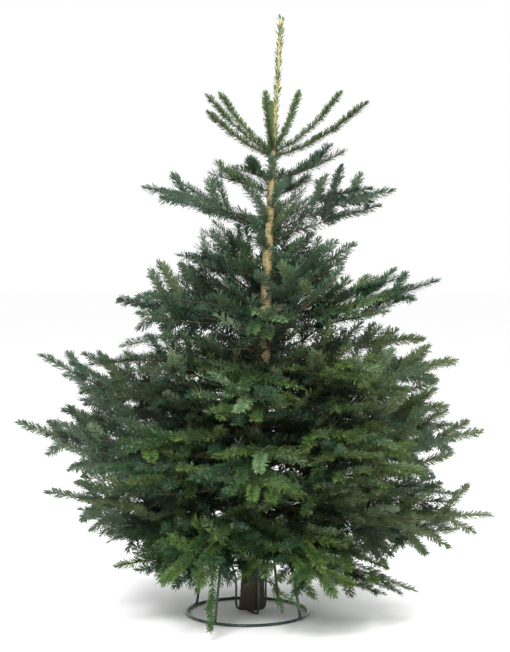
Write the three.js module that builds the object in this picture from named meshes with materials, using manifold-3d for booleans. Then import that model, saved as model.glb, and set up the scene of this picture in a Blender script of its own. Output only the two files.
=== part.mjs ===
// A cut Nordmann fir, two metres tall, standing in a welded ring stand of round steel bar.
// Millimetres, +Z up. Sizes are given from the centre of the stand's ground ring, on the floor.
// +X is to the right of the tree's good side, and -Y is towards whoever looks at it.
import * as THREE from 'three';
import { mergeVertices } from 'three/addons/utils/BufferGeometryUtils.js';
import Module from 'manifold-3d';

const wasm = await Module();
wasm.setup();

// ---------- driving sizes ----------

const HEIGHT = 2000; // floor to the tip of the leader
const CUT = 17; // height of the flat cut under the trunk, on the cradle bars
const TOP_WHORL = 1537; // where the leader starts
const BUTT = { x: 13, y: 0 }; // centre of the cut
const LEAN = 0.0472; // sideways run of the trunk for each millimetre of height
const LEADER_LEAN = 0.0605; // the leader leans a little more
const TRUNK_BOW = 8; // the trunk's slow bend towards the back at half its height
const TRUNK_SIDES = 10;
const GAP = 0.6; // left between neighbouring solids

const RING = { radius: 206, bar: 5 }; // centre line of the ground ring, and its bar's radius
const LEG = { bar: 4.5, count: 4, turn: -31, knee: 205, inward: 0.18 };
const COLLAR = { radius: 78, thick: 4, tall: 22, height: 240, meet: 8 };
const CRADLE_BAR = 3.5;
const CRADLE = [
  { turn: 5, half: 50, z: 12.6, middle: { x: 11, y: 0 } },
  { turn: -61, half: 54, z: 5, middle: { x: 11, y: 0 } },
];
const SCREW = { radius: 4, count: 3, turn: 30, out: 26, wing: 15 };
const LIMB_SHARE = 0.026; // a bough's thickness at the trunk, half across, for its reach

const SHOOT = { radius: 15, deep: 14 }; // a one-year shoot with its needles, half across
// A fan's half width for its bough's reach, its half height, how far its lobes and notches stand
// from an even rim, and how far the lobes sweep forward.
const FAN = { width: 0.29, deep: 128, lobe: 1.24, notch: 0.66, sweep: 0.5 };

const radians = THREE.MathUtils.degToRad;
const point = (x, y, z) => new THREE.Vector3(x, y, z);
const mix = THREE.MathUtils.lerp;

// An uneven value from 0 to 1, the same one every time for the same two numbers.
function uneven(a, b) {
  const s = Math.sin(a * 127.1 + b * 311.7) * 43758.5453;
  return s - Math.floor(s);
}

// ---------- materials ----------

const paint = (color, roughness, metalness = 0) =>
  new THREE.MeshStandardMaterial({ color, roughness, metalness });
const bark = paint(0x6b5a3c, 0.85);
const needles = paint(0x2f4a30, 0.6);
const topNeedles = paint(0x47664a, 0.6);
const greenPaint = paint(0x12302a, 0.35, 0.3);
const zinc = paint(0x9aa0a0, 0.35, 0.9);

// ---------- solids from three.js shapes ----------

// A shape with its doubled points along seams made one.
function sealed(geometry) {
  const bare = geometry.index ? geometry.toNonIndexed() : geometry.clone();
  bare.deleteAttribute('normal');
  bare.deleteAttribute('uv');
  return mergeVertices(bare, 1e-3);
}

// The same shape with every corner moved outwards.
function fattened(geometry, distance) {
  const shape = sealed(geometry);
  shape.computeVertexNormals();
  const at = shape.attributes.position;
  const normal = shape.attributes.normal;
  for (let i = 0; i < at.count; i++) {
    const move = point(normal.getX(i), normal.getY(i), normal.getZ(i)).multiplyScalar(distance);
    at.setXYZ(i, at.getX(i) + move.x, at.getY(i) + move.y, at.getZ(i) + move.z);
  }
  return shape;
}

// A closed three.js shape as a manifold-3d solid, and back.
function solidOf(geometry) {
  const merged = sealed(geometry);
  return new wasm.Manifold(new wasm.Mesh({
    numProp: 3,
    vertProperties: merged.attributes.position.array,
    triVerts: new Uint32Array(merged.index.array),
  }));
}

function geometryOf(solid) {
  const mesh = solid.getMesh();
  const geometry = new THREE.BufferGeometry();
  geometry.setAttribute('position', new THREE.BufferAttribute(mesh.vertProperties, 3));
  geometry.setIndex(new THREE.BufferAttribute(mesh.triVerts, 1));
  geometry.computeVertexNormals();
  return geometry;
}

const largest = (solid) =>
  solid.decompose().reduce((best, next) => (next.volume() > best.volume() ? next : best));

// ---------- trunk ----------

// The middle of the trunk at a height.
function trunkAt(z) {
  const below = Math.min(z, TOP_WHORL) - CUT;
  const above = Math.max(z - TOP_WHORL, 0);
  const bend = Math.sin((Math.PI * below) / (TOP_WHORL - CUT));
  return point(BUTT.x + LEAN * below + LEADER_LEAN * above, BUTT.y + TRUNK_BOW * bend, z);
}

// Height and radius where the trunk's taper changes: butt, stem, top whorl, leader and its buds.
const TAPER = [
  [CUT, 44], [45, 41], [110, 38.5], [600, 28], [1000, 20.5], [1340, 14], [1510, 11],
  [TOP_WHORL, 12.5], [1565, 7], [1800, 5.6], [1968, 4.6], [1984, 8], [HEIGHT - 4, 6],
];

// A turned taper, leaned over with its sections kept level, so that the cut is flat.
function trunkShape(sides, extra) {
  const outline = [new THREE.Vector2(0, CUT)];
  for (const [z, r] of TAPER) outline.push(new THREE.Vector2(r + extra, z));
  outline.push(new THREE.Vector2(0, HEIGHT));
  const shape = new THREE.LatheGeometry(outline, sides).rotateX(Math.PI / 2);
  const at = shape.attributes.position;
  for (let i = 0; i < at.count; i++) {
    const middle = trunkAt(at.getZ(i));
    at.setXY(i, at.getX(i) + middle.x, at.getY(i) + middle.y);
  }
  return shape;
}

// ---------- foliage ----------

// A bough's middle line, from the trunk out to its tip. bow lifts or sags its middle.
function boughLine({ turn, z, reach, lift, bow = 0 }, start = 0) {
  const way = point(Math.cos(radians(turn)), Math.sin(radians(turn)), 0);
  const root = trunkAt(z);
  const tip = root.clone().addScaledVector(way, reach).add(point(0, 0, lift));
  const middle = root.clone().lerp(tip, 0.5).add(point(0, 0, 2 * bow));
  const whole = new THREE.QuadraticBezierCurve3(root, middle, tip);
  return start ? outerPart(whole, start / reach) : whole;
}

// The part of a bough's line beyond a share of its length.
function outerPart(line, share) {
  const from = line.getPoint(share);
  const control = line.v1.clone().lerp(line.v2, share);
  return new THREE.QuadraticBezierCurve3(from, control, line.v2);
}

// The direction across a line and the direction square to both. roll turns them about the line.
function acrossAt(line, t, roll = 0) {
  const along = line.getTangent(t);
  const side = point(0, 0, 1).cross(along).normalize().applyAxisAngle(along, radians(roll));
  return { side, up: along.clone().cross(side) };
}

// A ball drawn out along a line: half its width and depth at each share of the way are given,
// and grown is added all round.
function drawnOut(line, width, depth, sides, rings, grown) {
  const ball = new THREE.SphereGeometry(1, sides, rings);
  const at = ball.attributes.position;
  const over = grown / line.v0.distanceTo(line.v2);
  for (let i = 0; i < at.count; i++) {
    const t = THREE.MathUtils.clamp((1 - at.getY(i)) / 2, 0, 1);
    const round = Math.hypot(at.getX(i), at.getZ(i));
    const { side, up } = acrossAt(line, t);
    const place = line.getPoint(mix(-over, 1 + over, t));
    if (round > 1e-6) {
      place.addScaledVector(side, (at.getX(i) / round) * (width(t) + grown));
      place.addScaledVector(up, (at.getZ(i) / round) * (depth(t) + grown));
    }
    at.setXYZ(i, place.x, place.y, place.z);
  }
  return solidOf(ball);
}

// A one-year shoot with its needles: a spindle along the shoot.
function shootMass(bough, grown) {
  const { thick = 1, wide = 1 } = bough;
  const swell = (t) => mix(0.75, 1, Math.sin(Math.PI * Math.min(t * 1.5, 1)));
  const half = (t) => SHOOT.radius * wide * swell(t);
  return drawnOut(boughLine(bough), half, (t) => SHOOT.deep * thick * swell(t), 5, 4, grown);
}

// A bough's foliage: a flattened fan round its outer part. Its rim runs out into a lobe for each
// side branch and back into the notch before the next one, and no two lobes are quite alike.
function fanMass(bough, seed, grown) {
  const { reach, lobes, thick = 1, wide = 1, limb = 0, roll = 0 } = bough;
  const line = boughLine(bough, limb);
  const fan = new THREE.SphereGeometry(1, lobes * 4, 4);
  const at = fan.attributes.position;
  for (let i = 0; i < at.count; i++) {
    const round = Math.hypot(at.getX(i), at.getZ(i));
    const step = Math.round((Math.atan2(at.getZ(i), -at.getX(i)) / Math.PI) * lobes * 2);
    const vary = mix(-1, 1, uneven(seed, step));
    let ahead = at.getX(i);
    let out = at.getZ(i) * FAN.width * wide * reach * mix(1.1, 0.8, (1 + ahead) / 2);
    if (round > 0.9 && Math.abs(step) !== lobes * 2) {
      const lobe = step % 2 !== 0;
      out *= (lobe ? FAN.lobe : FAN.notch) + 0.14 * vary;
      ahead += ((lobe ? FAN.sweep : -FAN.sweep) / lobes) * (1 - ahead ** 2);
    }
    const t = (1 + ahead) / 2;
    const { side, up } = acrossAt(line, t, roll);
    const deep = FAN.deep * thick * mix(1, 0.6, t ** 2);
    const high = at.getY(i) * deep + (round > 0.9 ? 0.16 * deep * vary : -0.1 * deep);
    const place = line.getPoint(t).addScaledVector(side, -out).addScaledVector(up, high);
    at.setXYZ(i, place.x, place.y, place.z);
  }
  return solidOf(fattened(fan, 2 * grown));
}

// ---------- the tree's boughs, from the top whorl to the lowest ----------
// turn is the bearing of each bough round the trunk, from +X towards +Y. z is where it leaves the
// trunk, reach how far out it goes, lift how much its tip is above that, bow its middle's arch.
// lobes is its side branches on each hand, roll how far its fan is turned about the bough, and
// limb how much of it near the trunk is bare. thick and wide are for the usual size of one.

const bough = (turn, z, reach, lift, bow, more) => ({ turn, z, reach, lift, bow, ...more });

const CROWN = {
  top_shoot_1: bough(172, 1537, 222, 212, -20),
  top_shoot_2: bough(142, 1545, 226, 218, -24),
  top_shoot_3: bough(196, 1530, 222, 154, -16),
  top_shoot_4: bough(258, 1545, 125, 195, -14),
  top_shoot_5: bough(92, 1545, 142, 190, -14),
  top_shoot_6: bough(50, 1540, 142, 226, -12),
  top_shoot_7: bough(15, 1537, 239, 224, -18),
  top_shoot_8: bough(345, 1528, 318, 186, -20),
  upper_left: bough(184, 1418, 200, 66, 4, { wide: 1.6, thick: 1.5 }),
  upper_right: bough(350, 1462, 240, 92, -10, { wide: 1.3, thick: 1.2 }),
  upper_front: bough(222, 1458, 175, 42, 6, { wide: 1.7, thick: 1.5 }),
  upper_back: bough(48, 1392, 205, 78, 6, { wide: 1.8, thick: 2 }),
  shoulder_left: bough(176, 1272, 415, 168, 26, { lobes: 3, thick: 0.5, roll: 35, limb: 110 }),
  shoulder_right: bough(356, 1275, 408, 148, 30, { lobes: 3, thick: 0.5, roll: -35, limb: 110 }),
  shoulder_front: bough(214, 1140, 340, 66, 14, { lobes: 3, thick: 0.6, roll: 20 }),
  shoulder_back: bough(82, 1230, 370, 150, 14, { lobes: 3, thick: 0.8, limb: 100 }),
  hook_right: bough(344, 1105, 275, 180, -34, { lobes: 3, thick: 0.5, wide: 1.2, roll: -50 }),
  waist_left: bough(178, 990, 490, 62, 24, { lobes: 3, thick: 0.9, roll: 40, limb: 100 }),
  waist_right: bough(352, 1000, 572, 128, -22, { lobes: 3, thick: 0.62, roll: 14, limb: 100 }),
  waist_front: bough(264, 990, 430, -10, 30, { lobes: 3, thick: 0.9, wide: 1.2 }),
  waist_back: bough(90, 1010, 480, 60, 10, { lobes: 4, thick: 0.95, wide: 1.6 }),
  middle_left: bough(186, 690, 730, 190, -64, { lobes: 4, thick: 0.7, roll: 30 }),
  middle_right: bough(356, 780, 645, 80, -4, { lobes: 4, thick: 0.9, roll: -50 }),
  middle_front_left: bough(206, 812, 610, 60, 0, { lobes: 4, thick: 0.8, roll: 20 }),
  middle_front: bough(262, 790, 540, -40, 20, { lobes: 3, thick: 1, wide: 1.2 }),
  middle_front_right: bough(318, 805, 600, -20, 10, { lobes: 3, thick: 1 }),
  middle_back: bough(90, 800, 600, 40, 10, { lobes: 4, thick: 1, wide: 1.3 }),
  lower_left: bough(180, 548, 805, 104, -34, { lobes: 4, thick: 0.8, roll: 40 }),
  lower_right: bough(2, 565, 750, 46, -6, { lobes: 4, thick: 0.9, roll: -50, wide: 1.1 }),
  lower_front_left: bough(222, 580, 690, -50, 14, { lobes: 4, thick: 1 }),
  lower_front: bough(268, 560, 640, -60, 20, { lobes: 4, thick: 1 }),
  lower_front_right: bough(318, 580, 680, -40, 14, { lobes: 4, thick: 1 }),
  lower_back_left: bough(128, 580, 700, 10, 10, { lobes: 3, thick: 1 }),
  lower_back_right: bough(58, 570, 690, 0, 10, { lobes: 3, thick: 1 }),
  low_left: bough(188, 385, 700, 36, -4, { lobes: 4, thick: 0.9, roll: 42, wide: 1.1 }),
  low_right: bough(352, 372, 780, -16, -6, { lobes: 4, thick: 0.85, roll: -42, wide: 1.1 }),
  low_front_left: bough(240, 345, 570, -140, 26, { lobes: 3, thick: 0.9 }),
  low_front_right: bough(294, 335, 590, -150, 26, { lobes: 3, thick: 0.9 }),
  low_back_left: bough(134, 370, 640, -40, 10, { lobes: 3, thick: 0.95 }),
  low_back_right: bough(70, 380, 650, -50, 10, { lobes: 3, thick: 0.95 }),
  skirt_left: bough(210, 262, 510, -50, 8, { lobes: 3, thick: 0.7, roll: 20 }),
  skirt_right: bough(328, 262, 600, -110, 10, { lobes: 3, thick: 0.7, roll: -20 }),
  skirt_back: bough(98, 268, 560, -70, 6, { lobes: 3, thick: 0.5 }),
};

const tree = new THREE.Group();
tree.name = 'christmas_tree';

// What the next solid has to keep clear of: everything placed so far, grown by the gap.
let taken;

// Cuts a solid clear of its neighbours, adds it to the tree and keeps its place.
function place(name, material, make) {
  const whole = make(0);
  const left = taken ? largest(whole.subtract(taken)) : whole;
  const mesh = new THREE.Mesh(geometryOf(left), material.clone());
  mesh.name = name;
  tree.add(mesh);
  taken = wasm.Manifold.union([whole, make(GAP), ...(taken ? [taken] : [])]);
}

place('trunk', bark, (grown) => solidOf(trunkShape(TRUNK_SIDES, grown)));

// ---------- the stand ----------

// A round bar bent along a line of points, its corners eased.
function bar(points, radius, steps, sides = 6) {
  const path = new THREE.CatmullRomCurve3(points, false, 'catmullrom', 0.3);
  const section = new THREE.Shape();
  for (let i = 0; i < sides; i++) {
    const a = ((i + 0.5) / sides) * Math.PI * 2;
    section[i ? 'lineTo' : 'moveTo'](Math.cos(a) * radius, Math.sin(a) * radius);
  }
  section.closePath();
  return solidOf(new THREE.ExtrudeGeometry(section, { steps, bevelEnabled: false, extrudePath: path }));
}

// A ring lying level, turned from a section of corners set round its middle.
function levelRing(corners, segments) {
  const outline = [...corners, corners[0]].map(([x, z]) => new THREE.Vector2(x, z));
  return solidOf(new THREE.LatheGeometry(outline, segments).rotateX(Math.PI / 2));
}

// The corners of a bar's section, with a flat at the bottom.
function barCorners(radius, height, thick, sides) {
  const corners = [];
  for (let i = 0; i < sides; i++) {
    const a = ((i + 0.5) / sides) * Math.PI * 2 - Math.PI / 2;
    corners.push([radius + Math.cos(a) * thick, height + Math.sin(a) * thick]);
  }
  return corners;
}

// A point at a bearing and distance from the middle of the stand.
const standPoint = (turn, radius, z) =>
  point(Math.cos(radians(turn)) * radius, Math.sin(radians(turn)) * radius, z);

const ringThick = RING.bar / Math.cos(Math.PI / 6);
place('stand_ring', greenPaint, (grown) =>
  levelRing(barCorners(RING.radius, RING.bar, ringThick + grown, 6), 28));

for (let i = 0; i < CRADLE.length; i++) {
  const { turn, half, z, middle } = CRADLE[i];
  const arm = (hand, out, height) => {
    const flat = standPoint(turn, hand * (half + out), height);
    return flat.add(point(middle.x, middle.y, 0));
  };
  place(`stand_cradle_${i + 1}`, greenPaint, (grown) => bar([
    standPoint(turn + (180 - COLLAR.meet), COLLAR.radius - CRADLE_BAR * 2, COLLAR.height - 9),
    arm(-1, 2, 120),
    arm(-1, 0, z + 22),
    arm(-1, -9, z + 3),
    arm(-1, -24, z),
    arm(1, -24, z),
    arm(1, -9, z + 3),
    arm(1, 0, z + 22),
    arm(1, 2, 120),
    standPoint(turn + COLLAR.meet, COLLAR.radius - CRADLE_BAR * 2, COLLAR.height - 9),
  ], CRADLE_BAR + grown, 16));
}

for (let i = 0; i < SCREW.count; i++) {
  const turn = SCREW.turn + (i * 360) / SCREW.count;
  const stem = trunkAt(COLLAR.height);
  const knob = standPoint(turn, COLLAR.radius + SCREW.out, COLLAR.height);
  const across = standPoint(turn + 90, SCREW.wing, 0);
  place(`stand_screw_${i + 1}`, zinc, (grown) => {
    const rod = bar([stem, knob], SCREW.radius + grown, 1);
    const wing = bar([knob.clone().sub(across), knob.clone().add(across)], SCREW.radius + grown, 1);
    return rod.add(wing);
  });
}

place('stand_collar', greenPaint, (grown) => {
  const low = COLLAR.height - COLLAR.tall / 2 - grown;
  const high = COLLAR.height + COLLAR.tall / 2 + grown;
  const inner = COLLAR.radius - COLLAR.thick / 2 - grown;
  const outer = COLLAR.radius + COLLAR.thick / 2 + grown;
  return levelRing([[inner, low], [outer, low], [outer, high], [inner, high]], 12);
});

for (let i = 0; i < LEG.count; i++) {
  const turn = LEG.turn + i * 90;
  const knee = RING.radius - LEG.inward * LEG.knee;
  place(`stand_leg_${i + 1}`, greenPaint, (grown) => bar([
    standPoint(turn, RING.radius, RING.bar),
    standPoint(turn, mix(RING.radius, knee, 0.5), LEG.knee * 0.5),
    standPoint(turn, knee, LEG.knee - 10),
    standPoint(turn, knee - 14, COLLAR.height - 7),
    standPoint(turn, knee - 36, COLLAR.height),
    standPoint(turn, COLLAR.radius, COLLAR.height),
  ], LEG.bar + grown, 7));
}

// ---------- bare limbs, then the masses of foliage ----------

// A bare limb: one taper from inside the trunk's bark to inside the start of its mass.
function limbOf(bough, grown) {
  const line = boughLine(bough);
  const entry = (bough.limb + 25) / bough.reach;
  const middle = line.v0.clone().lerp(line.v1, entry);
  const bare = new THREE.QuadraticBezierCurve3(line.v0, middle, line.getPoint(entry));
  const taper = (t) => LIMB_SHARE * bough.reach * mix(1.1, 0.75, t);
  return drawnOut(bare, taper, taper, 6, 4, grown);
}

for (const [name, bough] of Object.entries(CROWN)) {
  if (bough.limb) place(`${name}_bough`, bark, (grown) => limbOf(bough, grown));
}

Object.entries(CROWN).forEach(([name, bough], order) => {
  const colour = name.startsWith('top') ? topNeedles : needles;
  place(name, colour, (grown) => (bough.lobes ? fanMass(bough, order, grown) : shootMass(bough, grown)));
});

// The origin is moved to the floor under the middle of the tree's own box.
const middle = new THREE.Box3().setFromObject(tree).getCenter(new THREE.Vector3());
tree.position.set(-middle.x, -middle.y, 0);

export default tree;
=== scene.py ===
import math
import bpy
import numpy as np
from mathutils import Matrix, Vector
from mathutils.bvhtree import BVHTree


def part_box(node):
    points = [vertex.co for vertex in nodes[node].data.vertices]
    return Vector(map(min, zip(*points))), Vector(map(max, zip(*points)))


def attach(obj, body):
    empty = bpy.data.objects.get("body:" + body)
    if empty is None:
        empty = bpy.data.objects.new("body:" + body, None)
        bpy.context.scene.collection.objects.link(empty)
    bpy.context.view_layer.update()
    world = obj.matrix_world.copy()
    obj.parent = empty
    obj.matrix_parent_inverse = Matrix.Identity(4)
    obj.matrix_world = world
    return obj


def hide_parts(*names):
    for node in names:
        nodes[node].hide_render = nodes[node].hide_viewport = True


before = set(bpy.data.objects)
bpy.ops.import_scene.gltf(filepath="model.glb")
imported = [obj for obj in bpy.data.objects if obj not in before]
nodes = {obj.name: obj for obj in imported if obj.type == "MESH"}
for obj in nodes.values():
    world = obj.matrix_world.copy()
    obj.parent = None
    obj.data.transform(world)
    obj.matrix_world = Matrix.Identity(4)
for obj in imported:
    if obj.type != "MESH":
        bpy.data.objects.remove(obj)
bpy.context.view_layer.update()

# ---------------------------------------------------------------------------------------------
# The stand: a welded ring stand of round mild-steel bar, stove enamelled dark green. The ground
# ring carries four legs that lean in and turn over to a collar, and two bent bars cross under the
# trunk as a cradle. It is bent cold, tack welded at each joint and enamelled all over.
# ---------------------------------------------------------------------------------------------

UP = Vector((0, 0, 1))


def add_piece(name, mesh, material, smooth=True):
    piece = bpy.data.objects.new(name, mesh)
    bpy.context.scene.collection.objects.link(piece)
    mesh.materials.append(material)
    if smooth:
        mesh.polygons.foreach_set("use_smooth", np.ones(len(mesh.polygons), bool))
    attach(piece, "root")
    return piece


def mesh_of(name, points, faces):
    """A mesh from an array of points and an array of faces that all have the same corners."""
    points = np.asarray(points, np.float32).reshape(-1, 3)
    faces = np.asarray(faces, np.int32)
    corners = faces.shape[1]
    mesh = bpy.data.meshes.new(name)
    mesh.vertices.add(len(points))
    mesh.vertices.foreach_set("co", points.ravel())
    mesh.loops.add(faces.size)
    mesh.loops.foreach_set("vertex_index", faces.ravel())
    mesh.polygons.add(len(faces))
    mesh.polygons.foreach_set("loop_start", np.arange(0, faces.size, corners, dtype=np.int32))
    mesh.polygons.foreach_set("loop_total", np.full(len(faces), corners, np.int32))
    mesh.update(calc_edges=True)
    mesh.validate()
    return mesh


def bent_bar(points, radius, closed=False, sides=14, steps=10):
    """A round bar along a smooth line through the points: returns its corners and faces."""
    spots = np.asarray([tuple(p) for p in points], float)
    count = len(spots)
    line = []
    for i in range(count if closed else count - 1):
        near = [spots[(i + k) % count] if closed else spots[min(max(i + k, 0), count - 1)]
                for k in (-1, 0, 1, 2)]
        for t in np.arange(steps) / steps:
            a, b, c, d = near
            line.append(0.5 * (2 * b + (c - a) * t + (2 * a - 5 * b + 4 * c - d) * t * t
                               + (3 * b - a - 3 * c + d) * t ** 3))
    if not closed:
        line.append(spots[-1])
    line = np.array(line)
    after = np.roll(line, -1, 0) if closed else np.vstack([line[1:], 2 * line[-1] - line[-2]])
    before = np.roll(line, 1, 0) if closed else np.vstack([2 * line[0] - line[1], line[:-1]])
    along = after - before
    along /= np.linalg.norm(along, axis=1)[:, None]
    side = np.zeros_like(line)
    last = np.cross(along[0], (0.31, 0.11, 0.94))
    for i in range(len(line)):
        last = last - along[i] * np.dot(last, along[i])
        last /= np.linalg.norm(last)
        side[i] = last
    up = np.cross(along, side)
    turn = np.arange(sides) / sides * 2 * np.pi
    rim = (line[:, None] + radius * (np.cos(turn)[None, :, None] * side[:, None]
                                     + np.sin(turn)[None, :, None] * up[:, None]))
    rows = len(line)
    faces = []
    for i in range(rows if closed else rows - 1):
        for j in range(sides):
            k = (j + 1) % sides
            n = (i + 1) % rows
            faces.append((i * sides + j, i * sides + k, n * sides + k, n * sides + j))
    corners = rim.reshape(-1, 3)
    if not closed:
        for row, flip in ((0, True), (rows - 1, False)):
            middle = len(corners)
            corners = np.vstack([corners, line[row][None]])
            for j in range(0, sides, 2):
                ring = [row * sides + j, row * sides + (j + 1) % sides, row * sides + (j + 2) % sides]
                faces.append((middle, ring[2], ring[1], ring[0]) if flip
                             else (middle, ring[0], ring[1], ring[2]))
    return corners, faces


def gathered(parts):
    """Several sets of corners and faces as one."""
    corners, faces, count = [], [], 0
    for points, sides in parts:
        corners.append(points)
        faces.append(np.asarray(sides) + count)
        count += len(points)
    return np.vstack(corners), np.vstack(faces)


def new_group(name, takes, gives):
    """An empty shader node group with its sockets made, and its two end nodes."""
    group = bpy.data.node_groups.new(name, "ShaderNodeTree")
    for label, kind, value in takes:
        socket = group.interface.new_socket(label, in_out="INPUT", socket_type=kind)
        socket.default_value = value
    for label, kind in gives:
        group.interface.new_socket(label, in_out="OUTPUT", socket_type=kind)
    return group, group.nodes.new("NodeGroupInput"), group.nodes.new("NodeGroupOutput")


# Fine dust and wear: a mottled mask from two sizes of noise, for enamel, plate, bark and needles.
mottle, mottle_in, mottle_out = new_group(
    "mottle",
    [("Colour A", "NodeSocketColor", (0, 0, 0, 1)), ("Colour B", "NodeSocketColor", (1, 1, 1, 1)),
     ("Scale", "NodeSocketFloat", 40.0), ("Fine", "NodeSocketFloat", 300.0),
     ("Amount", "NodeSocketFloat", 0.5)],
    [("Color", "NodeSocketColor"), ("Mask", "NodeSocketFloat"), ("Height", "NodeSocketFloat")])
place = mottle.nodes.new("ShaderNodeTexCoord")
broad = mottle.nodes.new("ShaderNodeTexNoise")
fine = mottle.nodes.new("ShaderNodeTexNoise")
both = mottle.nodes.new("ShaderNodeMath")
both.operation = "MULTIPLY_ADD"
both.inputs[1].default_value = 0.6
lessened = mottle.nodes.new("ShaderNodeMath")
lessened.operation = "MULTIPLY"
lessened.inputs[1].default_value = 0.4
shaped = mottle.nodes.new("ShaderNodeMapRange")
shaped.inputs["From Min"].default_value = 0.36
shaped.inputs["From Max"].default_value = 0.64
weighed = mottle.nodes.new("ShaderNodeMath")
weighed.operation = "MULTIPLY"
blended = mottle.nodes.new("ShaderNodeMix")
blended.data_type = "RGBA"
for texture, label in ((broad, "Scale"), (fine, "Fine")):
    mottle.links.new(place.outputs["Object"], texture.inputs["Vector"])
    mottle.links.new(mottle_in.outputs[label], texture.inputs["Scale"])
mottle.links.new(fine.outputs["Fac"], lessened.inputs[0])
mottle.links.new(broad.outputs["Fac"], both.inputs[0])
mottle.links.new(lessened.outputs[0], both.inputs[2])
mottle.links.new(both.outputs[0], shaped.inputs["Value"])
mottle.links.new(shaped.outputs["Result"], weighed.inputs[0])
mottle.links.new(mottle_in.outputs["Amount"], weighed.inputs[1])
mottle.links.new(weighed.outputs[0], blended.inputs["Factor"])
mottle.links.new(mottle_in.outputs["Colour A"], blended.inputs["A"])
mottle.links.new(mottle_in.outputs["Colour B"], blended.inputs["B"])
mottle.links.new(blended.outputs["Result"], mottle_out.inputs["Color"])
mottle.links.new(shaped.outputs["Result"], mottle_out.inputs["Mask"])
mottle.links.new(both.outputs[0], mottle_out.inputs["Height"])


def mottled_material(name, colour, other, scale, fine_scale, amount, rough, metallic=0.0, coat=0.0,
                     bump=0.0, depth=0.001):
    """A material whose colour, roughness and relief come from the mottle group."""
    material = bpy.data.materials.new(name)
    material.use_nodes = True
    tree = material.node_tree
    shader = tree.nodes["Principled BSDF"]
    tone = tree.nodes.new("ShaderNodeGroup")
    tone.node_tree = mottle
    tone.inputs["Colour A"].default_value = (*colour, 1)
    tone.inputs["Colour B"].default_value = (*other, 1)
    tone.inputs["Scale"].default_value = scale
    tone.inputs["Fine"].default_value = fine_scale
    tone.inputs["Amount"].default_value = amount
    tree.links.new(tone.outputs["Color"], shader.inputs["Base Color"])
    ranged = tree.nodes.new("ShaderNodeMapRange")
    ranged.inputs["To Min"].default_value = rough[0]
    ranged.inputs["To Max"].default_value = rough[1]
    tree.links.new(tone.outputs["Mask"], ranged.inputs["Value"])
    tree.links.new(ranged.outputs["Result"], shader.inputs["Roughness"])
    shader.inputs["Metallic"].default_value = metallic
    shader.inputs["Coat Weight"].default_value = coat
    if bump:
        relief = tree.nodes.new("ShaderNodeBump")
        relief.inputs["Strength"].default_value = bump
        relief.inputs["Distance"].default_value = depth
        tree.links.new(tone.outputs["Height"], relief.inputs["Height"])
        tree.links.new(relief.outputs["Normal"], shader.inputs["Normal"])
    return material


enamel = mottled_material("green_enamel", (0.003, 0.022, 0.016), (0.006, 0.042, 0.029),
                          60, 420, 0.6, (0.22, 0.40), coat=0.15, bump=0.15, depth=0.0004)
zinc = mottled_material("zinc_plate", (0.62, 0.64, 0.62), (0.42, 0.44, 0.43),
                        180, 900, 0.7, (0.22, 0.45), metallic=0.9, bump=0.1, depth=0.0002)

ring_low, ring_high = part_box("stand_ring")
collar_low, collar_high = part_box("stand_collar")
stand_middle = (ring_low + ring_high) / 2
RING_BAR = (ring_high.z - ring_low.z) / 2
RING_RADIUS = (ring_high.x - ring_low.x) / 2 - RING_BAR
LEG_BAR = 0.0045
CRADLE_BAR = 0.0037
COLLAR_HEIGHT = (collar_low.z + collar_high.z) / 2
COLLAR_RADIUS = (collar_high.x - collar_low.x) / 2 - 0.002
LEG_TURNS = [math.radians(-31 + 90 * i) for i in range(4)]
LEG_LEAN = 0.18  # how far a leg leans in for its height
KNEE = 0.205  # the height at which a leg turns over to the collar


def on_stand(turn, radius, height):
    return Vector((stand_middle.x + math.cos(turn) * radius,
                   stand_middle.y + math.sin(turn) * radius, height))


ring_spots = [on_stand(math.radians(a), RING_RADIUS, RING_BAR) for a in range(0, 360, 10)]
ring_bar = bent_bar(ring_spots, RING_BAR, closed=True, steps=4)
# The tack welds where the legs meet the ring, and where the ring's own ends were butted.
welds = []
for turn in LEG_TURNS + [math.radians(104)]:
    spot = on_stand(turn, RING_RADIUS, RING_BAR * 1.25)
    step = Vector((-math.sin(turn), math.cos(turn), 0))
    bead = [spot - step * 0.007, spot, spot + step * 0.007]
    welds.append(bent_bar(bead, RING_BAR * 1.06, sides=10, steps=3))
stand_ring = add_piece("ring_of_stand", mesh_of("ring_of_stand", *gathered([ring_bar] + welds)), enamel)
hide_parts("stand_ring")

for i, turn in enumerate(LEG_TURNS):
    knee = RING_RADIUS - LEG_LEAN * KNEE
    leg_bar = bent_bar([
        on_stand(turn, RING_RADIUS - 0.001, RING_BAR * 1.6),
        on_stand(turn, (RING_RADIUS + knee) / 2, KNEE / 2),
        on_stand(turn, knee, KNEE - 0.010),
        on_stand(turn, knee - 0.014, COLLAR_HEIGHT - 0.007),
        on_stand(turn, knee - 0.036, COLLAR_HEIGHT),
        on_stand(turn, COLLAR_RADIUS + 0.003, COLLAR_HEIGHT)], LEG_BAR, sides=12, steps=8)
    leg = add_piece(f"leg_{i + 1}", mesh_of(f"leg_{i + 1}", *leg_bar), enamel)
    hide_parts(f"stand_leg_{i + 1}")

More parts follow.
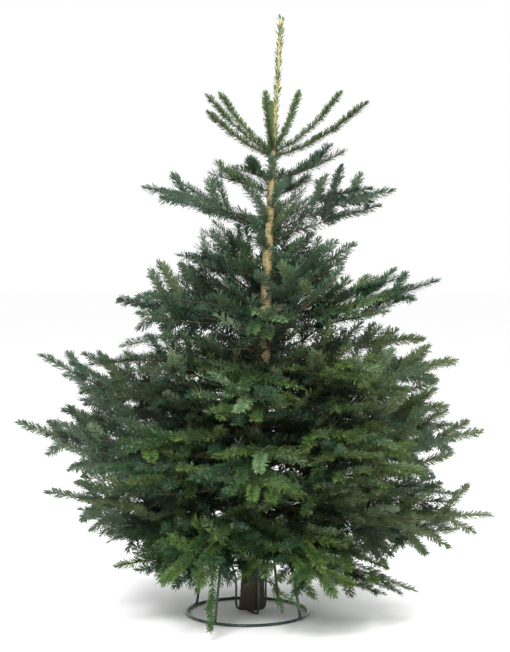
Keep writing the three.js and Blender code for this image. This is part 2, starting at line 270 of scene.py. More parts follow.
# The collar is a strip of steel rolled into a hoop, with its edges eased.
rows = [(-0.0019, -0.0106), (0.0019, -0.0106), (0.0024, -0.0092), (0.0024, 0.0092), (0.0019, 0.0106),
        (-0.0019, 0.0106), (-0.0024, 0.0092), (-0.0024, -0.0092)]
turns = 96
hoop = [on_stand(2 * math.pi * i / turns, COLLAR_RADIUS + out, COLLAR_HEIGHT + high)
        for i in range(turns) for out, high in rows]
hoop_faces = [(i * 8 + j, ((i + 1) % turns) * 8 + j, ((i + 1) % turns) * 8 + (j + 1) % 8, i * 8 + (j + 1) % 8)
              for i in range(turns) for j in range(8)]
collar = add_piece("collar", mesh_of("collar", [tuple(p) for p in hoop], hoop_faces), enamel, smooth=False)
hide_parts("stand_collar")

# The two cradle bars are bent into a U. One lies on the other, square under the trunk, which
# stands a little to one side of the ring's middle.
CRADLE_SHIFT = Vector((0.011, 0, 0))
for i, (turn, half, height) in enumerate(((5, 0.050, 0.0126), (-61, 0.054, 0.005))):
    way = math.radians(turn)

    def arm(hand, out, z):
        return on_stand(way, hand * (half + out), z) + CRADLE_SHIFT

    cradle_bar = bent_bar([
        on_stand(way + math.radians(172), COLLAR_RADIUS - 0.0062, COLLAR_HEIGHT - 0.009),
        arm(-1, 0.002, 0.120), arm(-1, 0, height + 0.022), arm(-1, -0.009, height + 0.003),
        arm(-1, -0.024, height), arm(1, -0.024, height), arm(1, -0.009, height + 0.003),
        arm(1, 0, height + 0.022), arm(1, 0.002, 0.120),
        on_stand(way + math.radians(8), COLLAR_RADIUS - 0.0062, COLLAR_HEIGHT - 0.009)],
        CRADLE_BAR, sides=12, steps=8)
    cradle = add_piece(f"cradle_{i + 1}", mesh_of(f"cradle_{i + 1}", *cradle_bar), enamel)
    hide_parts(f"stand_cradle_{i + 1}")

# ---------------------------------------------------------------------------------------------
# The clamping screws: zinc-plated rod with a turned-over tommy bar, run in through the collar
# until they bite in the bark.
# ---------------------------------------------------------------------------------------------

SCREW_ROD = 0.0036
SCREW_OUT = 0.026  # from the collar to the handle
SCREW_HANDLE = 0.0145  # half its length
THREAD = {"pitch": 0.0026, "depth": 0.09}
for i in range(3):
    name = f"stand_screw_{i + 1}"
    turn = math.radians(30 + 120 * i)
    out = on_stand(turn, COLLAR_RADIUS + SCREW_OUT, COLLAR_HEIGHT)
    corners = np.array([v.co for v in nodes[name].data.vertices])
    inner = corners[np.argmax(((corners - np.array(out)) ** 2).sum(1))]
    inner = Vector((inner[0], inner[1], COLLAR_HEIGHT))
    across = Vector((-math.sin(turn), math.cos(turn), 0)) * SCREW_HANDLE
    rod_line = [inner.lerp(out, k / 40) for k in range(41)]
    rod = bent_bar(rod_line, SCREW_ROD, sides=12, steps=2)
    # Rolled threads: the rod's radius goes in and out along its length.
    ridge = np.array(rod[0])
    axis = np.array((out - inner).normalized())
    reach = (ridge - np.array(inner)) @ axis
    centre = np.array(inner) + reach[:, None] * axis
    swell = 1 + THREAD["depth"] * np.sign(np.sin(2 * math.pi * reach / THREAD["pitch"]))
    ridge = centre + (ridge - centre) * swell[:, None]
    wing = bent_bar([out - across, out - across * 0.5, out, out + across * 0.5, out + across],
                    SCREW_ROD, sides=12, steps=3)
    screw = add_piece(f"screw_{i + 1}", mesh_of(f"screw_{i + 1}", *gathered([(ridge, rod[1]), wing])), zinc)
    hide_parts(name)

# ---------------------------------------------------------------------------------------------
# The trunk: one young fir stem, sawn flat at the foot. The bark is thin and smooth, dark brown
# low down and yellow-tan above, ringed at each year's whorl and dotted with resin blisters. Its
# near-black colour at the foot is partly painted shade under the crown.
# ---------------------------------------------------------------------------------------------

trunk_spots = np.array([v.co for v in nodes["trunk"].data.vertices])
levels = np.unique(np.round(trunk_spots[:, 2], 4))
trunk_rows = []
for z in levels:
    row = trunk_spots[np.abs(trunk_spots[:, 2] - z) < 2e-4]
    row = np.unique(np.round(row, 5), axis=0)
    if len(row) >= 8:
        middle = row[:, :2].mean(0)
        rim = row[np.hypot(*(row[:, :2] - middle).T) > 1e-4]
        middle = rim[:, :2].mean(0)
        trunk_rows.append((z, *middle, np.hypot(*(rim[:, :2] - middle).T).mean()))
trunk_rows = np.array(trunk_rows)
TRUNK_TOP = trunk_spots[:, 2].max()


def stem_at(z):
    """The middle of the trunk at a height."""
    return Vector((np.interp(z, trunk_rows[:, 0], trunk_rows[:, 1]),
                   np.interp(z, trunk_rows[:, 0], trunk_rows[:, 2]), float(z)))


def stem_radius(z):
    return float(np.interp(z, trunk_rows[:, 0], trunk_rows[:, 3]))


def ripple(points, size, seed, waves=7):
    """Smooth uneven values between about -1 and 1 over points in space, for relief."""
    rng = np.random.default_rng(seed)
    total = np.zeros(points.shape[:-1])
    for _ in range(waves):
        way = rng.normal(size=3)
        way /= np.linalg.norm(way)
        total += np.sin(points @ way / size * rng.uniform(4, 8) + rng.uniform(0, 6.28))
    return total / waves * 1.6


WHORLS = [float(z) for z in (0.33, 0.56, 0.79, 1.015, 1.225, trunk_rows[-1, 0] - 0.463)]


def stem_mesh():
    heights = np.concatenate([np.arange(trunk_rows[0, 0], TRUNK_TOP - 0.004, 0.006), [TRUNK_TOP - 0.003]])
    sides = 40
    turn = np.arange(sides) / sides * 2 * np.pi
    corners = []
    for z in heights:
        middle = np.array(stem_at(z))
        radius = stem_radius(z)
        swell = sum(0.10 * math.exp(-((z - w) / 0.018) ** 2) for w in WHORLS)
        ring = np.stack([np.cos(turn), np.sin(turn), np.zeros(sides)], 1)
        spots = middle + ring * radius
        rough = 0.0011 * min(1, radius / 0.02)
        lift = 1 + swell + (ripple(spots * (1, 1, 0.45), 0.03, 5) * rough
                            + ripple(spots, 0.011, 6) * rough * 0.7) / radius
        flute = 1 + 0.05 * np.cos(5 * turn + 0.7) * max(0, 1 - (z - heights[0]) / 0.12)
        corners.append(middle + ring * radius * (lift * flute)[:, None])
    rows = len(heights)
    corners = np.vstack(corners + [np.array(stem_at(heights[0]))[None],
                                   np.array([*stem_at(TRUNK_TOP - 0.001)[:2], TRUNK_TOP - 0.0005])[None]])
    faces = []
    for i in range(rows - 1):
        for j in range(sides):
            k = (j + 1) % sides
            faces.append((i * sides + j, i * sides + k, (i + 1) * sides + k, (i + 1) * sides + j))
    for row, middle, flip in ((0, rows * sides, True), (rows - 1, rows * sides + 1, False)):
        for j in range(0, sides, 2):
            ring = [row * sides + j, row * sides + j + 1, row * sides + (j + 2) % sides]
            faces.append((middle, ring[2], ring[1], ring[0]) if flip else (middle, ring[0], ring[1], ring[2]))
    return corners, faces


def bark_material(name, foot, tan, green, dot, high, depth):
    """Bark by height: brown at the foot, tan above, green-tan on the leader, with dark dots. A near-black
    foot colour is partly painted shade.
    """
    material = bpy.data.materials.new(name)
    material.use_nodes = True
    tree = material.node_tree
    shader = tree.nodes["Principled BSDF"]
    where = tree.nodes.new("ShaderNodeTexCoord")
    split = tree.nodes.new("ShaderNodeSeparateXYZ")
    tree.links.new(where.outputs["Object"], split.inputs[0])
    rise = tree.nodes.new("ShaderNodeMapRange")
    rise.inputs["From Max"].default_value = high
    tree.links.new(split.outputs["Z"], rise.inputs["Value"])
    ramp = tree.nodes.new("ShaderNodeValToRGB")
    ramp.color_ramp.elements[0].color = (*foot, 1)
    ramp.color_ramp.elements[1].color = (*green, 1)
    ramp.color_ramp.elements.new(0.55).color = (*tan, 1)
    ramp.color_ramp.elements.new(0.30).color = (*[0.55 * a + 0.45 * b for a, b in zip(foot, tan)], 1)
    tree.links.new(rise.outputs["Result"], ramp.inputs["Fac"])
    tone = tree.nodes.new("ShaderNodeGroup")
    tone.node_tree = mottle
    tone.inputs["Colour B"].default_value = (*dot, 1)
    tone.inputs["Scale"].default_value = 90
    tone.inputs["Fine"].default_value = 340
    tone.inputs["Amount"].default_value = 0.42
    tree.links.new(ramp.outputs["Color"], tone.inputs["Colour A"])
    blister = tree.nodes.new("ShaderNodeTexVoronoi")
    blister.inputs["Scale"].default_value = 75
    tree.links.new(where.outputs["Object"], blister.inputs["Vector"])
    spot = tree.nodes.new("ShaderNodeMapRange")
    spot.inputs["From Min"].default_value = 0.16
    spot.inputs["From Max"].default_value = 0.24
    spot.inputs["To Min"].default_value = 0.8
    spot.inputs["To Max"].default_value = 0.0
    tree.links.new(blister.outputs["Distance"], spot.inputs["Value"])
    dotted = tree.nodes.new("ShaderNodeMix")
    dotted.data_type = "RGBA"
    tree.links.new(spot.outputs["Result"], dotted.inputs["Factor"])
    tree.links.new(tone.outputs["Color"], dotted.inputs["A"])
    dotted.inputs["B"].default_value = (*dot, 1)
    tree.links.new(dotted.outputs["Result"], shader.inputs["Base Color"])
    ranged = tree.nodes.new("ShaderNodeMapRange")
    ranged.inputs["To Min"].default_value = 0.62
    ranged.inputs["To Max"].default_value = 0.9
    tree.links.new(tone.outputs["Mask"], ranged.inputs["Value"])
    tree.links.new(ranged.outputs["Result"], shader.inputs["Roughness"])
    relief = tree.nodes.new("ShaderNodeBump")
    relief.inputs["Strength"].default_value = 0.7
    relief.inputs["Distance"].default_value = depth
    tree.links.new(tone.outputs["Height"], relief.inputs["Height"])
    tree.links.new(relief.outputs["Normal"], shader.inputs["Normal"])
    shader.inputs["Specular IOR Level"].default_value = 0.2
    return material


# The trunk's near-black foot colour is dark brown bark, darkened further as painted shade under the crown.
bark = bark_material("bark", foot=(0.013, 0.009, 0.006), tan=(0.42, 0.34, 0.17), green=(0.40, 0.33, 0.14),
                     dot=(0.055, 0.038, 0.022), high=1.9, depth=0.002)
stem = add_piece("stem", mesh_of("stem", *stem_mesh()), bark)
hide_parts("trunk")

# ---------------------------------------------------------------------------------------------
# Boughs and twigs: fir wood grown out from the trunk in yearly lengths. At each year's joint a
# bough sends out a pair of side branches in one flat fan, and these branch again in the same way.
# ---------------------------------------------------------------------------------------------

rng = np.random.default_rng(20240)
MASSES = [n for n in nodes if not n.startswith(("trunk", "stand_")) and not n.endswith("_bough")]
YEAR = 0.165  # one year's growth on a bough
SPREAD = math.radians(54)  # between a bough and its side branch
LONE, LEADER, TOP = 7, 8, 9  # orders of the single shoots; boughs are 0 and their branches 1 to 3
BARE = 20  # years added to wood that has shed its needles
shoots = []  # every year's length of wood, from the boughs to the last twigs


def mass_tree(name):
    mesh = nodes[name].data
    return BVHTree.FromPolygons([v.co for v in mesh.vertices], [p.vertices[:] for p in mesh.polygons])


def along_bough(root, middle, tip, t):
    control = middle * 2 - (root + tip) / 2
    return root * (1 - t) ** 2 + control * 2 * t * (1 - t) + tip * t * t


def bough_line(name):
    """A bough's start, middle and tip, read from its mass, with the mass's own way across, way
    up, half width and half depth."""
    spots = np.array([v.co for v in nodes[name].data.vertices])
    stem = np.array([stem_at(z)[:2] for z in spots[:, 2]])
    out = np.hypot(*(spots[:, :2] - stem).T)
    tip = spots[np.argmax(out)]
    reach = out.max()
    way = (tip[:2] - stem[np.argmax(out)]) / reach
    ahead = (spots[:, :2] - stem) @ way
    near = spots[ahead < max(0.26 * reach, ahead.min() + 0.02)]
    limb = f"{name}_bough"
    if limb in nodes:
        near = np.array([v.co for v in nodes[limb].data.vertices])
        near = near[np.argsort(np.hypot(*(near[:, :2] - np.array(stem_at(near[:, 2].mean())[:2])).T))[:4]]
    root = stem_at(near[:, 2].mean())
    body = mass_tree(name)
    heights = []
    for share in (0.4, 0.5, 0.6):
        foot = np.array(root)[:2] + way * reach * share
        top = body.ray_cast(Vector((*foot, 3)), Vector((0, 0, -1)))[0]
        low = body.ray_cast(Vector((*foot, -1)), Vector((0, 0, 1)))[0]
        if top and low:
            heights.append((top.z + low.z) / 2 + (0.5 - share) * (tip[2] - root.z))
    middle = root.lerp(Vector(tip), 0.5)
    if heights:
        middle.z = float(np.mean(heights))
    # The fan's roll about its line: the way across in which its corners are most spread.
    along = (Vector(tip) - root).normalized()
    level = along.cross(UP).normalized()
    rise = level.cross(along)
    line = np.array([along_bough(root, middle, Vector(tip), min(max(a / reach, 0), 1)) for a in ahead])
    off = spots - line
    flat = np.stack([off @ np.array(level), off @ np.array(rise)], 1)
    flat = flat[(ahead > 0.3 * reach) & (ahead < 0.9 * reach)]
    roll = 0.0
    if len(flat) > 8:
        spread = flat.T @ flat
        roll = 0.5 * math.atan2(2 * spread[0, 1], spread[0, 0] - spread[1, 1])
    across = level * math.cos(roll) + rise * math.sin(roll)
    up = across.cross(along)
    half = (0.02, 0.02)
    if len(flat):
        half = [np.percentile(np.abs(off @ np.array(axis)), 85) for axis in (across, up)]
    return root, middle, Vector(tip), body, across, up, half


def room(body, start, way):
    """How far a branch can run before it would leave its bough's mass."""
    if body is None:
        return 1.0
    hit, normal, _, distance = body.ray_cast(start + way * 0.002, way)
    if hit is None or normal.dot(way) < 0:
        return 0.0
    return distance


def hang_at(z):
    """Side branches hang a little on the low boughs and rise a little on the high ones."""
    return float(np.interp(z, (0.2, 0.7, 1.1, 1.5), (-0.30, -0.16, 0.04, 0.20)))


def turn_up_at(spot):
    """The last years' growth turns up towards the light, more so high up in the crown."""
    return float(np.interp(spot.z, (0.2, 0.55, 1.0, 1.5), (-0.06, 0.10, 0.16, 0.22)))


def add_shoot(start, end, up, age, thick, tip, order):
    shoots.append((*start, *end, *up, age, thick, tip, order))


def grow(start, way, up, length, year, order, body, older=0, bend=0.0):
    """One branch with its side branches, a year's length at a time."""
    count = max(1, int(round(length / year)))
    step = length / count
    spot = start.copy()
    way = way.normalized()
    for i in range(count):
        age = count - 1 - i + older
        wander = Vector(rng.normal(0, 0.045, 3))
        way = (way + wander + UP * (bend + turn_up_at(spot)) * (i + 1) / count).normalized()
        up = (up - way * up.dot(way)).normalized()
        end = spot + way * step
        add_shoot(spot, end, up, age, 0.0011 + 0.00105 * age, age == 0, order)
        left = length - (i + 1) * step
        if order < 2 and age != 0:
            side = way.cross(up)
            for hand in (-1, 1):
                angle = SPREAD * rng.uniform(0.82, 1.15)
                tilt = rng.normal(0, 0.24)
                branch = (way * math.cos(angle) + side * hand * math.sin(angle) + up * tilt
                          + UP * hang_at(end.z)).normalized()
                share = (0.85, 0.80)[order] * rng.uniform(0.8, 1.12)
                fits = room(body, end, branch) + 0.022
                run = min(left * share + 0.03, fits)
                if run > 0.06:
                    grow(end, branch, up, run, max(year * 0.9, 0.12), order + 1, body,
                         older=older if run >= 0.9 * fits else 0)
            if rng.random() < 0.8:
                hand = rng.choice((-1, 1))
                angle = SPREAD * rng.uniform(0.7, 1.1)
                branch = (way * math.cos(angle) + side * hand * math.sin(angle)
                          + up * rng.uniform(-0.2, 0.5) + UP * rng.uniform(0.0, 0.6)).normalized()
                between = spot.lerp(end, rng.uniform(0.35, 0.7))
                run = min(year * rng.uniform(0.5, 0.85), room(body, between, branch) + 0.022)
                if run > 0.05:
                    grow(between, branch, up, run, year, 3, body)
        spot = end


def grow_bough(root, middle, tip, up, body, bare, year=YEAR, density=1.0):
    """A main bough: it keeps to its own line and sends out its fans of side branches."""
    length = (tip - root).length
    count = max(2, int(round(length / year)))
    spots = [along_bough(root, middle, tip, i / count) for i in range(count + 1)]
    for i in range(count):
        age = count - 1 - i
        spot, end = spots[i], spots[i + 1]
        way = (end - spot).normalized()
        up = (up - way * way.dot(up)).normalized()
        hidden = (end - root).length < bare
        add_shoot(spot, end, up, age + (BARE if hidden else 0), 0.0012 + 0.0013 * age, age == 0, 0)
        if hidden or age == 0:
            continue
        left = length - (i + 1) * length / count
        side = way.cross(up)
        for hand in (-1, 1):
            for extra in range(2 if rng.random() < 0.8 * density and age > 1 else 1):
                angle = SPREAD * rng.uniform(0.8, 1.15)
                tilt = rng.normal(0, 0.18) if not extra else rng.choice((-1, 1)) * rng.uniform(0.25, 0.6)
                branch = (way * math.cos(angle) + side * hand * math.sin(angle) + up * tilt
                          + UP * hang_at(end.z) * 0.5).normalized()
                start = spot.lerp(end, 1.0 if not extra else rng.uniform(0.35, 0.7))
                fits = room(body, start, branch) + 0.025
                run = min(left * rng.uniform(0.75, 1.05) + 0.07, fits)
                if run > 0.06:
                    grow(start, branch, up, run, year * 0.92, 1, body, bend=0.02)


for name in sorted(MASSES):
    root, middle, tip, body, across, up, (half_width, half_depth) = bough_line(name)
    reach = (tip - root).length
    if name.startswith("top_shoot"):
        spots = [along_bough(root, middle, tip, t) for t in (0, 0.34, 0.67, 1)]
        for a, b, t in zip(spots, spots[1:], (0, 0, 1)):
            way = (b - a).normalized()
            add_shoot(a, b, (UP - way * UP.dot(way)).normalized(), 0, 0.0022, t, TOP)
    elif name.startswith("upper"):
        grow_bough(root, middle, tip, UP, body, 0.02, year=0.09)
        for k in range(4):
            way = (tip - root).normalized()
            side = way.cross(UP).normalized()
            start = along_bough(root, middle, tip, rng.uniform(0.25, 0.6))
            branch = (way + side * rng.choice((-1, 1)) * rng.uniform(0.6, 0.9) + UP * 0.2).normalized()
            grow(start, branch, UP, min(0.11, reach * 0.5), 0.07, 2, body)
    else:
        grow_bough(root, middle, tip, up, body, 0.05)
        for k in range(2 if reach < 0.45 else 5):
            swing = (0.42, -0.42, 0.10, -0.10, 0.0)[k] + rng.normal(0, 0.06)
            lift = (0.30, -0.30, -0.62, 0.62, 0.25)[k] + rng.normal(0, 0.06)
            share = (0.84, 0.86, 0.84, 0.82, 0.66)[k]
            shift = across * half_width * swing + up * half_depth * lift
            other_tip = root + (tip - root) * share + shift
            other_root = stem_at(root.z + shift.z * 0.7)
            bent = middle - root.lerp(tip, 0.5)
            other_mid = other_root.lerp(other_tip, 0.5) + bent + shift * 0.4
            grow_bough(other_root, other_mid, other_tip, up, body, 0.05, density=0.7)

# Between the whorls the stem carries small branches of its own, all the way round. They are
# fewer at the front above the middle whorl, where the stem shows between them.
z = 0.21
turn = 0.0
while z < 1.47:
    turn += 2.4 + rng.normal(0, 0.3)
    run = float(np.interp(z, (0.2, 0.5, 0.9, 1.15, 1.3, 1.5), (0.34, 0.40, 0.33, 0.24, 0.17, 0.11)))
    rise = float(np.interp(z, (0.2, 0.8, 1.3), (0.05, 0.30, 0.75)))
    way = Vector((math.cos(turn), math.sin(turn), rise + rng.normal(0, 0.12))).normalized()
    start = stem_at(z) + Vector((way.x, way.y, 0)) * stem_radius(z) * 0.6
    if rng.random() < 0.45 or not (1.02 < z < 1.22 and way.y < -0.7):
        grow(start, way, UP, run * rng.uniform(0.7, 1.15), 0.13, 2 if z > 1.2 else 1, None,
             older=1 if z < 1.1 else 0)
    z += 0.0095 if z < 1.15 else 0.018

# Sprays hang from the lowest boughs all round, over the legs of the stand.
for k in range(34):
    turn = k * 2.4 + rng.normal(0, 0.2)
    out = 0.10 + 0.32 * ((k * 0.618) % 1)
    start = on_stand(turn, out, 0.345 - 0.06 * out)
    way = Vector((math.cos(turn), math.sin(turn), -0.38 + rng.normal(0, 0.15))).normalized()
    grow(start, way, UP, rng.uniform(0.15, 0.22), 0.10, 1, None, bend=-0.08)
# Three fuller sprays hang in front of the stem's foot, with their flat faces outward.
for turn, out, run in ((-1.95, 0.15, 0.17), (-1.62, 0.14, 0.18), (-1.30, 0.16, 0.15)):
    outward = Vector((math.cos(turn), math.sin(turn), 0))
    start = on_stand(turn, out, 0.31)
    grow(start, (outward * 0.2 - UP).normalized(), outward + UP * 0.3, run, 0.12, 1, None)
# A few single shoots hang lower at the front, one of them almost to the floor.
for start, tip in (((-0.104, -0.330, 0.260), (-0.110, -0.380, 0.130)),
                   ((-0.110, -0.380, 0.130), (-0.116, -0.402, 0.036)),
                   ((-0.108, -0.372, 0.150), (-0.122, -0.392, 0.095)),
                   ((0.040, -0.325, 0.225), (0.100, -0.360, 0.150)),
                   ((0.100, -0.360, 0.150), (0.165, -0.375, 0.105)),
                   ((0.085, -0.350, 0.165), (0.110, -0.375, 0.095))):
    start, tip = (Vector((stand_middle.x, stand_middle.y, 0)) + Vector(p) for p in (start, tip))
    add_shoot(start, tip, UP, 0, 0.0012, 1, LONE)

# The leader is this year's growth at the top of the stem: its needles are few and lie close.
leader_steps = np.linspace(WHORLS[-1] + 0.02, TRUNK_TOP - 0.006, 6)
for low, high in zip(leader_steps, leader_steps[1:]):
    thick = stem_radius((low + high) / 2)
    add_shoot(stem_at(low), stem_at(high), Vector((0, -1, 0)), 0, thick, 0, LEADER)

shoots = np.array(shoots)
SHOOT_START, SHOOT_END, SHOOT_UP = shoots[:, 0:3], shoots[:, 3:6], shoots[:, 6:9]
SHOOT_AGE, SHOOT_THICK, SHOOT_TIP = shoots[:, 9], shoots[:, 10], shoots[:, 11] > 0
SHOOT_ORDER = shoots[:, 12]


def unit(v):
    return v / np.maximum(np.linalg.norm(v, axis=-1, keepdims=True), 1e-9)


def wood(name, which, sides, material, relief=0.0):
    """The chosen shoots as one joined mesh of tapering, slightly bowed lengths."""
    start, end, up = SHOOT_START[which], SHOOT_END[which], SHOOT_UP[which]
    thick = SHOOT_THICK[which]
    along = unit(end - start)
    side = unit(np.cross(along, up))
    lift = np.cross(side, along)
    turn = np.arange(sides) / sides * 2 * np.pi
    ring = np.cos(turn)[None, :, None] * side[:, None] + np.sin(turn)[None, :, None] * lift[:, None]
    stations = (0.0, 0.5, 1.0) if relief else (0.0, 1.0)
    rows = []
    for k, t in enumerate(stations):
        radius = thick * (1.12 - 0.22 * t) * (1 + (0.18 if t in (0.0, 1.0) and relief else 0))
        bow = 0.012 * np.linalg.norm(end - start, axis=1) * (4 * t * (1 - t))
        middle = start + (end - start) * t + lift * bow[:, None]
        radii = radius[:, None] * (1 + relief * ripple(middle[:, None] + ring * 0.01, 0.01, 31 + k))
        rows.append(middle[:, None] + ring * radii[:, :, None])
    count = len(start)
    corners = np.stack(rows, 1).reshape(-1, 3)
    j = np.arange(sides)
    face = []
    for k in range(len(stations) - 1):
        a, b = k * sides + j, k * sides + (j + 1) % sides
        face.append(np.stack([a, a + sides, b + sides, b], 1))
    face = np.concatenate(face)
    block = len(stations) * sides
    faces = (np.arange(count) * block)[:, None, None] + face[None]
    piece = add_piece(name, mesh_of(name, corners, faces.reshape(-1, 4)), material)
    return piece


old_wood = (SHOOT_AGE >= 3) & (SHOOT_ORDER != LEADER)
limb_nodes = [n for n in nodes if n.endswith("_bough")]
bough_bark = bark_material("bough_bark", foot=(0.07, 0.045, 0.028), tan=(0.12, 0.08, 0.045),
                           green=(0.33, 0.24, 0.10), dot=(0.045, 0.03, 0.02), high=1.9, depth=0.001)
boughs = wood("boughs", old_wood, 8, bough_bark, relief=0.10)
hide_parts(*limb_nodes)
twig_bark = mottled_material("twig_bark", (0.085, 0.055, 0.028), (0.14, 0.09, 0.045),
                             120, 700, 0.8, (0.55, 0.75), bump=0.2, depth=0.0003)
wood("twigs", (SHOOT_AGE < 3) & (SHOOT_ORDER != LEADER), 4, twig_bark)

# ---------------------------------------------------------------------------------------------
# Winter buds: small egg-shaped buds in scales, red-brown and dull, three at the end of each
# shoot and a bigger cluster on top of the leader.
# ---------------------------------------------------------------------------------------------


def bud_cluster(ends, ways, ups, size):
    """Three buds at each end, one ahead and one to each side: their corners and faces."""
    side = unit(np.cross(ways, ups))
    corners, faces, count = [], [], 0
    rows = ((0.0, 0.6), (0.8, 1.0))
    turn = np.arange(4) / 4 * 2 * np.pi
    j = np.arange(4)
    k = (j + 1) % 4
    local = np.concatenate([np.stack([j, k, k + 4], 1), np.stack([j, k + 4, j + 4], 1),
                            np.stack([j + 4, k + 4, np.full(4, 8)], 1)])
    for lean in (0, -0.85, 0.85):
        axis = unit(ways + side * lean)
        across = unit(np.cross(axis, ups))
        other = np.cross(across, axis)
        scale = size * (1.0 if lean == 0 else 0.8)
        rim = np.cos(turn)[None, :, None] * across[:, None] + np.sin(turn)[None, :, None] * other[:, None]
        ring = [ends[:, None] + axis[:, None] * (scale * t * 2.2)[:, None, None]
                + rim * (scale * w)[:, None, None] for t, w in rows]
        top = (ends + axis * (scale * 2.5)[:, None])[:, None]
        corners.append(np.concatenate(ring + [top], 1).reshape(-1, 3))
        faces.append(((np.arange(len(ends)) * 9)[:, None, None] + local[None]).reshape(-1, 3) + count)
        count += len(ends) * 9
    return np.vstack(corners), np.vstack(faces)


ending = SHOOT_TIP & (SHOOT_ORDER != LEADER)
ends = np.vstack([SHOOT_END[ending], [np.array(stem_at(TRUNK_TOP - 0.012))]])
ways = np.vstack([unit(SHOOT_END - SHOOT_START)[ending], [(0, 0, 1)]])
ups = np.vstack([SHOOT_UP[ending], [(0, -1, 0)]])
sizes = np.append(np.full(ending.sum(), 0.0021), 0.0046)
bud_scale = mottled_material("bud_scale", (0.11, 0.045, 0.020), (0.20, 0.10, 0.045),
                             400, 1500, 0.8, (0.45, 0.65), bump=0.2, depth=0.0002)
buds = add_piece("buds", mesh_of("buds", *bud_cluster(ends, ways, ups, sizes)), bud_scale)

# ---------------------------------------------------------------------------------------------
# Needles: flat and blunt, a little over two centimetres long, notched at the end, glossy dark
# green above with two pale bands beneath. They point forward and part to both sides of the twig.
# ---------------------------------------------------------------------------------------------

NEEDLE = {"length": 0.029, "width": 0.0025, "count": 445000}
lengths = np.linalg.norm(SHOOT_END - SHOOT_START, axis=1)
density = np.choose(np.minimum(SHOOT_AGE, 4).astype(int), (1.0, 0.92, 0.75, 0.55, 0.4))
density = np.where(SHOOT_ORDER == TOP, 2.2, np.where(SHOOT_ORDER == LEADER, 0.45, density))
stems = np.array([stem_at(z)[:2] for z in SHOOT_END[:, 2]])
from_stem = np.hypot(*(SHOOT_END[:, :2] - stems).T)
high = SHOOT_END[:, 2]
edge = np.interp(high, (0.2, 0.4, 0.65, 0.9, 1.1, 1.4, 1.6), (0.5, 0.66, 0.70, 0.58, 0.45, 0.28, 0.2))
outer = np.clip((from_stem / edge - 0.25) / 0.45, 0.3, 1.0)
outer = np.where((SHOOT_ORDER >= LONE) | (high > 1.12), 1.0, outer)
at_rim = (SHOOT_AGE == 0) & (from_stem > 0.9 * edge)
density = np.where(at_rim, density * 1.35, density)
weight = np.where(SHOOT_AGE < 8, density * lengths * outer, 0)
counts = (weight * NEEDLE["count"] / weight.sum()).astype(int)

# Each spray is dealt one of six greens by its age, its height and its place in the tree. Sprays deep
# inside the crown get the deepest green as painted shade, and sprays at the lit front, sides and
# right flank get lighter greens as painted light.
deal = rng.random(len(shoots))
young = SHOOT_AGE == 0
DEEP, MID, BLUE, FRESH_AND_LIT, PALE_HIGHLIGHT, OLIVE = range(6)
tone = np.full(len(shoots), MID)
sunlit = (SHOOT_END[:, 1] < -0.12) & (high < 1.1) | (np.abs(SHOOT_END[:, 1]) > 0.45)
tone[SHOOT_AGE >= 2] = DEEP
tone[(SHOOT_AGE == 1) & (deal < 0.55)] = DEEP
# Sprays near the stem, inside the crown, get the deepest green: painted shade.
tone[(outer < 0.75) & (deal < 0.90)] = DEEP
tone[young & (deal < 0.30)] = BLUE
# Young sprays at the lit front and sides get the lighter fresh green: young growth's own colour, placed as
# painted light.
tone[young & (high < 0.95) & (deal > 0.30) & (deal < 0.58) & sunlit] = FRESH_AND_LIT
tone[(SHOOT_AGE == 1) & (high < 0.7) & (deal > 0.76) & sunlit] = FRESH_AND_LIT
tone[(high > 1.0) & (deal < 0.42) & (SHOOT_AGE < 2)] = BLUE
tone[(high > 1.0) & (deal > 0.42) & (deal < 0.66)] = DEEP
tone[(high > 1.0) & (deal > 0.90) & young] = OLIVE
# The palest green on young outer sprays at the lit front and sides is a painted highlight.
tone[young & (outer > 0.6) & (deal > 0.87) & sunlit] = PALE_HIGHLIGHT
# Sprays on the lower right flank are made yellower and lighter: painted light falling on that side.
lit_right_flank = (SHOOT_END[:, 0] > 0.15) & (high < 1.15)
tone[lit_right_flank & (tone == BLUE) & (deal < 0.20)] = OLIVE
tone[lit_right_flank & (tone == MID) & (deal > 0.72)] = FRESH_AND_LIT
tone[SHOOT_ORDER >= LEADER] = OLIVE
tone[(SHOOT_ORDER == LONE) & (deal < 0.7)] = MID


